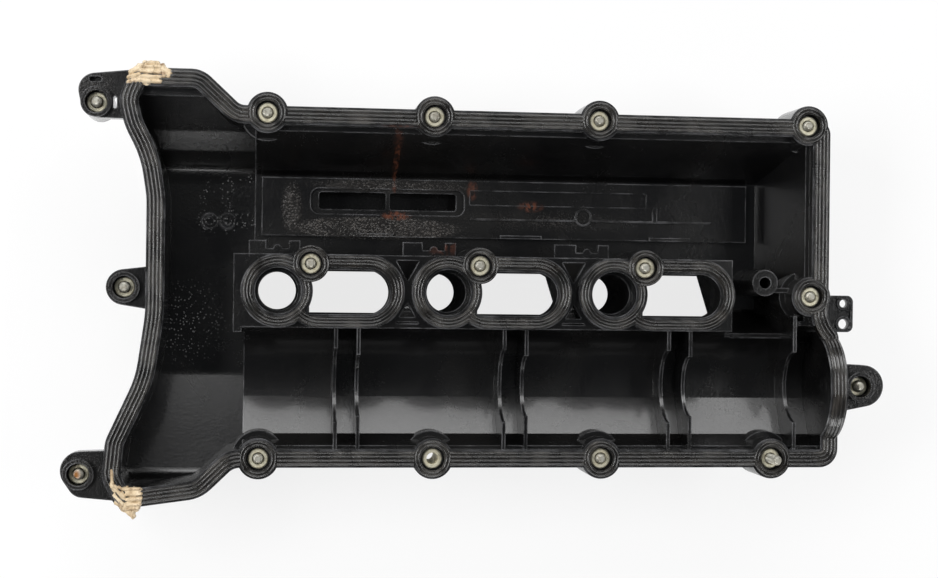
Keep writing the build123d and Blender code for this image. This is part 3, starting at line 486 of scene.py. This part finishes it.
def old_sealant(name):
    """Cured tan sealant: lighter on its crests, cracked and stained below."""
    n = Nodes(name)
    tone = n.noise(130.0, 7.0, 0.65, 0.6)
    base = n.ramp(tone, (0.28, SEALANT_DARK), (0.48, SEALANT_TAN), (0.72, SEALANT_CREST))
    lines = n.ramp(n.cells(170.0, feature="DISTANCE_TO_EDGE"), (0.0, 1.0), (0.045, 0.0))
    gate = n.ramp(n.noise(70.0, 3.0), (0.5, 0.0), (0.62, 1.0))
    cracks = n.times(lines, gate)
    base = n.mix(n.times(cracks, 0.75), base, SEALANT_CRACK)
    stain = n.ramp(n.noise(210.0, 5.0, 0.7), (0.54, 0.0), (0.68, 0.85))
    base = n.mix(stain, base, SEALANT_STAIN)
    n.link(base, n.bsdf.inputs["Base Color"])
    n.link(n.ramp(tone, (0.3, 0.60), (0.7, 0.42)), n.bsdf.inputs["Roughness"])
    normal = n.bump(n.noise(500.0, 5.0, 0.6), 0.4, 0.0005)
    normal = n.bump(n.math("SUBTRACT", 1.0, cracks), 0.5, 0.0006, normal)
    n.link(normal, n.bsdf.inputs["Normal"])
    return n.mat


PLASTIC = black_plastic("moulded_plastic")
RUBBER = rubber("gasket_rubber")
SLEEVE = zinc("sleeve_zinc", *SLEEVE_COLOURS)
BOLT = zinc("bolt_zinc", *BOLT_COLOURS, BOLT_RUST)
SEALANT = old_sealant("cured_sealant")


def paint(obj, mat):
    obj.data.materials.clear()
    obj.data.materials.append(mat)


def new_piece(name, bm, mat, body, crease=CREASE):
    """Finish a mesh: smooth but for its creases, painted, riding on its body."""
    mesh = bpy.data.meshes.new(name)
    bmesh.ops.recalc_face_normals(bm, faces=bm.faces)
    for face in bm.faces:
        face.smooth = True
    for edge in bm.edges:
        edge.smooth = len(edge.link_faces) == 2 and edge.calc_face_angle() < crease
    bm.to_mesh(mesh)
    bm.free()
    obj = bpy.data.objects.new(name, mesh)
    bpy.context.scene.collection.objects.link(obj)
    paint(obj, mat)
    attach(obj, body)
    return obj


def moved_corners(corners, inset, turn):
    """Corners of an outline moved inwards, with each side's direction."""
    sides = []
    for i, corner in enumerate(corners):
        along = (Vector(corners[(i + 1) % len(corners)]) - Vector(corner)).normalized()
        inward = Vector((-along.y, along.x)) * turn
        sides.append((Vector(corner) + inward * inset, along, inward))
    moved = []
    for i, (q, e, _) in enumerate(sides):
        p, d, _ = sides[i - 1]
        cross = d.x * e.y - d.y * e.x
        gap = q - p
        moved.append(p + d * ((gap.x * e.y - gap.y * e.x) / cross))
    return moved, sides


def rounded(corners, radii, inset):
    """Closed rounded outline moved inwards: points with inward directions."""
    sides = zip(corners, corners[1:] + corners[:1])
    twice_area = sum(a[0] * b[1] - b[0] * a[1] for a, b in sides)
    turn = 1.0 if twice_area > 0 else -1.0
    moved, sides = moved_corners(corners, inset, turn)
    out = []
    for i, corner in enumerate(moved):
        before, after = sides[i - 1][1], sides[i][1]
        hand = 1.0 if before.x * after.y - before.y * after.x > 0 else -1.0
        radius = max(radii[i] - inset, LEAST_RADIUS) if hand == turn else radii[i] + inset
        angle = before.angle(after)
        start = corner - before * radius * math.tan(angle / 2)
        centre = start + Vector((-before.y, before.x)) * hand * radius
        steps = max(2, int(radius * angle / CORNER_STEP) + 1)
        for k in range(steps + 1):
            spin = Matrix.Rotation(angle * k / steps * hand, 2)
            out.append((centre + spin @ (start - centre), spin @ sides[i - 1][2]))
    pairs = zip(out, out[1:] + out[:1])
    apart = [item for item, then in pairs if (then[0] - item[0]).length > SAME_PLACE]
    return evened(apart, CORNER_STEP)


def evened(run, step=LIP_STEP):
    """The same closed run with its long straight stretches divided."""
    out = []
    for (p, n), (q, m) in zip(run, run[1:] + run[:1]):
        parts = max(1, int((q - p).length / step))
        for k in range(parts):
            share = k / parts
            out.append((p.lerp(q, share), n.lerp(m, share).normalized()))
    return out


def arc_run(centre, radius, start, end):
    """Points round part of a circle, with directions towards its centre."""
    count = max(2, int(abs(end - start) * radius / LIP_STEP))
    run = []
    for k in range(count + 1):
        t = start + (end - start) * k / count
        arm = Vector((math.cos(t), math.sin(t)))
        run.append((Vector(centre) + arm * radius, -arm))
    return run


def circle(centre, radius):
    return arc_run(centre, radius, 0.0, 2 * math.pi)[:-1]


def on_gasket(run):
    """Raise a plan run to the gasket's top, over the half-moon at the end."""
    path = []
    for point, inward in run:
        off = point.y - CAM_Y
        across = Vector((inward.x, inward.y, 0))
        if point.x < ARCH_FROM_X or abs(off) > ARCH_HALF:
            path.append((Vector((point.x, point.y, GASKET_TOP)), across, UP))
            continue
        up = Vector((0, off, math.sqrt(ARCH_R**2 - off**2))).normalized()
        top = up * (ARCH_R + GASKET_TOP - GASKET_PLANE)
        path.append((Vector((point.x, CAM_Y, ARCH_Z)) + top, across, up))
    return path


def lip_section(width, height):
    """Half-round lip with flat flanks, from below the band's top."""
    half = width / 2
    section = [(half, -LIP_SUNK)]
    for k in range(LIP_FACETS + 1):
        t = math.pi * k / LIP_FACETS
        section.append((half * math.cos(t), height * math.sin(t)))
    return section + [(-half, -LIP_SUNK)]


def sweep(bm, path, section, closed):
    """Sweep a section of (across, up) over a path of (point, across, up)."""
    rows = [
        [bm.verts.new((point + across * a + up * b) * MM) for a, b in section]
        for point, across, up in path
    ]
    for i in range(len(rows) if closed else len(rows) - 1):
        low, high = rows[i], rows[(i + 1) % len(rows)]
        for j in range(len(section)):
            k = (j + 1) % len(section)
            bm.faces.new((low[j], low[k], high[k], high[j]))
    if not closed:
        bm.faces.new(rows[0])
        bm.faces.new(list(reversed(rows[-1])))


def outside(run, bolts):
    """The stretches of a closed run outside every bolt ring, and whether it is whole."""
    keep = [all((p - Vector(b)).length > RING_R for b in bolts) for p, _ in run]
    if all(keep):
        return [run], True
    start = next(i for i in range(len(run)) if keep[i] and not keep[i - 1])
    stretches = [[]]
    for item, kept in zip(run[start:] + run[:start], keep[start:] + keep[:start]):
        if kept:
            stretches[-1].append(item)
        elif stretches[-1]:
            stretches.append([])
    return [s for s in stretches if len(s) > 1], False


def add_lips(bm, run, bolts, width, height):
    stretches, closed = outside(run, bolts)
    for stretch in stretches:
        sweep(bm, on_gasket(stretch), lip_section(width, height), closed)


def add_ring_lips(bm, bolt):
    for radius, width, height in RING_LIPS:
        sweep(bm, on_gasket(circle(bolt, radius)), lip_section(width, height), True)


def rim_gasket_lips():
    bm = bmesh.new()
    for inset, width, height in RIM_LIPS:
        add_lips(bm, rounded(RIM_CORNERS, RIM_RADII, inset), RIM_BOLTS, width, height)
    for bolt in RIM_BOLTS:
        add_ring_lips(bm, bolt)
    new_piece("rim_gasket_lips", bm, RUBBER, "cover")


def well_outline(plug_x, radius, cut):
    """Plan run round a plug and its window, meeting at an angle of cut."""
    near, far = (plug_x + WELL_LOBES[0], 0), (plug_x + WELL_LOBES[1], 0)
    run = arc_run((plug_x, 0), radius, cut, 2 * math.pi - cut)
    run += arc_run(near, radius, math.pi + cut, 1.5 * math.pi)[1:]
    run += arc_run(far, radius, -math.pi / 2, math.pi / 2)
    run += arc_run(near, radius, math.pi / 2, math.pi - cut)[:-1]
    return evened(run)


def well_gasket_lips(index, plug_x):
    """Lips round the plug and the window, the bar between them and the bolt."""
    bm = bmesh.new()
    bolt = (plug_x + WELL_BOLT[0], WELL_BOLT[1])
    for radius, width, height in WELL_LIPS:
        cut = math.acos(WELL_LOBES[0] / 2 / radius)
        add_lips(bm, well_outline(plug_x, radius, cut), [bolt], width, height)
        if radius < WINDOW_NEAR_R:
            bar = arc_run((plug_x, 0), radius, -cut, cut)
            bar = [item for item in bar if (item[0] - Vector(bolt)).length > RING_R]
            sweep(bm, on_gasket(bar), lip_section(width, height), False)
    add_ring_lips(bm, bolt)
    new_piece(f"well_gasket_lips_{index}", bm, RUBBER, "cover")


def ring(bm, x, y, z, radius):
    """Vertices round an axis at one height, at a radius for each angle."""
    around = []
    for k in range(TURNED_SIDES):
        t = 2 * math.pi * k / TURNED_SIDES
        r = radius(t)
        around.append(bm.verts.new(Vector((x + r * math.cos(t), y + r * math.sin(t), z)) * MM))
    return around


def skin(bm, rings):
    """Faces from each ring to the next one."""
    for low, high in zip(rings, rings[1:]):
        for k in range(TURNED_SIDES):
            m = (k + 1) % TURNED_SIDES
            bm.faces.new((low[k], low[m], high[m], high[k]))


def hexagon(limit):
    """Radius of the bolt's hexagon at an angle, turned down to a limit."""
    def radius(t):
        return min(limit, HEAD_AF / 2 / math.cos(t % (math.pi / 3) - math.pi / 6))
    return radius


def threaded(z):
    """Radius of a right-hand thread at one height."""
    def radius(t):
        wave = abs((z / THREAD_PITCH - t / (2 * math.pi)) % 1.0 - 0.5) * 2
        return THREAD_R - THREAD_DEPTH * (1 - wave)
    return radius


def plain(value):
    return lambda t: value


def middle(name):
    """Place of a node's axis on the plan."""
    low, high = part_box(name)
    return (low[0] + high[0]) / 2 / MM, (low[1] + high[1]) / 2 / MM


def bolt_rows(foot, tip):
    """Heights and radii of a bolt, from the foot of its head to its tip."""
    shoulder = foot + HEAD_H
    dog = tip - DOG_LENGTH
    thread_top = dog - THREAD_TO_DOG
    rows = [
        (foot, plain(HEAD_AF / 2 - HEAD_CHAMFER)),
        (foot + SHARP_STEP, hexagon(HEAD_AF / 2 - SHARP_STEP)),
        (foot + HEAD_CHAMFER_H, hexagon(HEAD_CORNER_R)),
        (shoulder - HEAD_EDGE_H, hexagon(HEAD_CORNER_R)),
        (shoulder - FLAT_STEP, hexagon(HEAD_AF / 2)),
        (shoulder, plain(NECK_R)),
        (shoulder + NECK_H, plain(SHANK_R)),
        (thread_top - THREAD_LENGTH - THREAD_RUN_OUT, plain(SHANK_R)),
    ]
    count = int(THREAD_LENGTH / THREAD_PITCH * ROWS_PER_TURN)
    for k in range(count + 1):
        z = thread_top - THREAD_LENGTH * (1 - k / count)
        rows.append((z, threaded(z)))
    return rows + [
        (dog, plain(DOG_R + DOG_FOOT)),
        (dog + SHARP_STEP, plain(DOG_R)),
        (tip - DOG_CHAMFER_H, plain(DOG_R)),
        (tip, plain(DOG_R - DOG_CHAMFER)),
    ]


def bolt(name):
    """M6 bolt with a dog point, a cut thread and a chamfered hexagon head."""
    x, y = middle(name)
    low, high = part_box(name)
    bm = bmesh.new()
    rings = [ring(bm, x, y, z, radius) for z, radius in bolt_rows(low[2] / MM, high[2] / MM)]
    skin(bm, rings)
    bm.faces.new(list(reversed(rings[0])))
    bm.faces.new(rings[-1])
    piece = new_piece(f"{name}_detail", bm, BOLT, name, TURNED_CREASE)
    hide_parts(name)


def sleeves(name, places):
    """Turned sleeves, bevelled outside at both ends and inside at the top."""
    low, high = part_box(name)
    foot, top = low[2] / MM, high[2] / MM
    profile = [
        (SLEEVE_BORE_R, foot), (SLEEVE_R - SLEEVE_BEVEL, foot),
        (SLEEVE_R, foot + SLEEVE_BEVEL), (SLEEVE_R, top - SLEEVE_BEVEL),
        (SLEEVE_R - SLEEVE_BEVEL, top), (SLEEVE_BORE_R + BORE_BEVEL, top),
        (SLEEVE_BORE_R, top - BORE_BEVEL),
    ]
    bm = bmesh.new()
    for x, y in places:
        rings = [ring(bm, x, y, z, plain(r)) for r, z in profile]
        skin(bm, rings + rings[:1])
    piece = new_piece(f"{name}_turned", bm, SLEEVE, "cover", TURNED_CREASE)
    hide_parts(name)


def ridge_height(x, y, ridge):
    """Height of one ridge of sealant over a place on the plan."""
    start, end, width, height = ridge
    a, b, p = Vector(start), Vector(end), Vector((x, y))
    along = max(0.0, min(1.0, (p - a).dot(b - a) / (b - a).length_squared))
    wave = noise.noise(Vector((x, y, height)) * RIDGE_WOBBLE_SCALE)
    wobble = RIDGE_WIDTH_SHARE + RIDGE_WOBBLE * wave
    off = (p - a.lerp(b, along)).length / (width / 2 * wobble + RIDGE_SPREAD)
    return height * math.sqrt(1 - off * off) if off < 1 else 0.0


def sealant_field(ridges):
    """Place and height of each cell's corner that a ridge covers."""
    xs = [p[0] for ridge in ridges for p in ridge[:2]]
    ys = [p[1] for ridge in ridges for p in ridge[:2]]
    cols = int((max(xs) - min(xs) + 2 * SEALANT_MARGIN) / SEALANT_CELL)
    rows = int((max(ys) - min(ys) + 2 * SEALANT_MARGIN) / SEALANT_CELL)
    field = {}
    for i in range(cols):
        for j in range(rows):
            x = min(xs) - SEALANT_MARGIN + i * SEALANT_CELL
            y = min(ys) - SEALANT_MARGIN + j * SEALANT_CELL
            height = max(ridge_height(x, y, ridge) for ridge in ridges)
            if height > 0:
                height += SEALANT_BUMPS * noise.noise(Vector((x, y, 0)) * SEALANT_BUMPS_SCALE)
                field[i, j] = (x, y, max(height, SEALANT_LEAST))
    return field


def sealant(name, ridges):
    """Squeezed, ridged bead with a flat foot below its field of heights."""
    tops, feet, bm = {}, {}, bmesh.new()
    for corner, (x, y, height) in sealant_field(ridges).items():
        tops[corner] = bm.verts.new(Vector((x, y, SEALANT_BASE + height)) * MM)
        feet[corner] = bm.verts.new(Vector((x, y, SEALANT_BASE)) * MM)
    rim = {}
    for i, j in tops:
        cell = [(i, j), (i + 1, j), (i + 1, j + 1), (i, j + 1)]
        if not all(corner in tops for corner in cell):
            continue
        bm.faces.new([tops[corner] for corner in cell])
        bm.faces.new([feet[corner] for corner in reversed(cell)])
        for a, b in zip(cell, cell[1:] + cell[:1]):
            if (b, a) in rim:
                del rim[b, a]
            else:
                rim[a, b] = True
    for a, b in rim:
        bm.faces.new((tops[b], tops[a], feet[a], feet[b]))
    loose = [v for v in bm.verts if not v.link_faces]
    bmesh.ops.delete(bm, geom=loose, context="VERTS")
    piece = new_piece(f"{name}_ridges", bm, SEALANT, "cover", SEALANT_CREASE)
    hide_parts(name)


def floor_discs():
    """Two small moulded discs, each of two rings with a notched crest."""
    bm = bmesh.new()
    for place in FLOOR_DISCS:
        for share, height in DISC_RINGS:
            path = []
            for k, (point, inward) in enumerate(circle(place, DISC_R * share)):
                raised = DISC_NOTCH * (k % NOTCH_EVERY == 0)
                at = Vector((point.x, point.y, FLOOR_Z - DISC_SUNK + raised))
                path.append((at, Vector((inward.x, inward.y, 0)), UP))
            sweep(bm, path, lip_section(DISC_LIP, height), True)
    new_piece("floor_marks", bm, PLASTIC, "cover")


def camera():
    data = bpy.data.cameras.new("camera")
    data.lens = LENS_MM
    data.sensor_width = SENSOR_MM
    data.clip_end = VIEW_DEPTH
    obj = bpy.data.objects.new("camera", data)
    right, down, forward = Vector(CAMERA_RIGHT), Vector(CAMERA_DOWN), Vector(CAMERA_FORWARD)
    turn = Matrix((right, -down, -forward)).transposed()
    obj.matrix_world = Matrix.Translation(CAMERA_AT) @ turn.to_4x4()
    bpy.context.scene.collection.objects.link(obj)
    bpy.context.scene.camera = obj


def lamp(name, place, size, power):
    """Rectangular lamp that faces the part."""
    data = bpy.data.lights.new(name, "AREA")
    data.shape = "RECTANGLE"
    data.size, data.size_y = size
    data.energy = power
    obj = bpy.data.objects.new(name, data)
    aim = Vector(LAMPS_AIM) - Vector(place)
    turn = aim.to_track_quat("-Z", "Y").to_matrix().to_4x4()
    obj.matrix_world = Matrix.Translation(place) @ turn
    bpy.context.scene.collection.objects.link(obj)


def floor():
    """Plain pale floor that keeps the shadow."""
    bm = bmesh.new()
    bmesh.ops.create_grid(bm, x_segments=2, y_segments=2, size=FLOOR_SIZE)
    mesh = bpy.data.meshes.new("floor")
    bm.to_mesh(mesh)
    bm.free()
    obj = bpy.data.objects.new("floor", mesh)
    bpy.context.scene.collection.objects.link(obj)
    n = Nodes("floor")
    n.set(Base_Color=(*FLOOR_GREY, 1.0), Roughness=0.9)
    glow = n.node("ShaderNodeEmission")
    glow.inputs["Color"].default_value = (*WHITE, 1.0)
    light_path = n.node("ShaderNodeLightPath")
    seen = n.times(light_path.outputs["Is Camera Ray"], FLOOR_GLOW)
    mix = n.node("ShaderNodeMixShader")
    n.link(seen, mix.inputs["Fac"])
    n.link(n.bsdf.outputs["BSDF"], mix.inputs[1])
    n.link(glow.outputs["Emission"], mix.inputs[2])
    n.link(mix.outputs["Shader"], n.out.inputs["Surface"])
    paint(obj, n.mat)


def world():
    """Dim grey surroundings that the camera sees as white."""
    made = bpy.data.worlds.new("studio")
    bpy.context.scene.world = made
    made.use_nodes = True
    tree = made.node_tree
    back = tree.nodes["Background"]
    path = tree.nodes.new("ShaderNodeLightPath")
    tint = tree.nodes.new("ShaderNodeMix")
    tint.data_type = "RGBA"
    tint.inputs[6].default_value = (*WORLD_GREY, 1.0)
    tint.inputs[7].default_value = (*WHITE, 1.0)
    tree.links.new(path.outputs["Is Camera Ray"], tint.inputs["Factor"])
    tree.links.new(tint.outputs[2], back.inputs["Color"])


camera()
floor()
world()
for values in LAMPS:
    lamp(*values)

# The CAD nodes keep their shapes and get their slot's material
SLOT_MATERIAL = {
    "cover_plastic": PLASTIC, "baffle_plastic": PLASTIC, "gasket_rubber": RUBBER,
    "sleeve_zinc": SLEEVE, "bolt_zinc": BOLT, "sealant": SEALANT,
}
for part in frame["record"]["subparts"]:
    paint(NODES[part["node"]], SLOT_MATERIAL[part["material_slot"]])

rim_gasket_lips()
for index, plug_x in enumerate(PLUGS_X):
    well_gasket_lips(index + 1, plug_x)
for part in frame["record"]["subparts"]:
    if part["material_slot"] == "bolt_zinc":
        bolt(part["node"])
sleeves("rim_sleeves", [place for place in RIM_BOLTS if place != EMPTY_SLEEVE])
sleeves("empty_sleeve", [EMPTY_SLEEVE])
sleeves("well_sleeves", [(plug_x + WELL_BOLT[0], WELL_BOLT[1]) for plug_x in PLUGS_X])
sleeves("ear_sleeves", [middle(name) for name in EAR_BOLT_NODES])
for name, ridges in SEALANT_RIDGES.items():
    sealant(name, ridges)
floor_discs()

bpy.context.scene.view_settings.view_transform = "Standard"
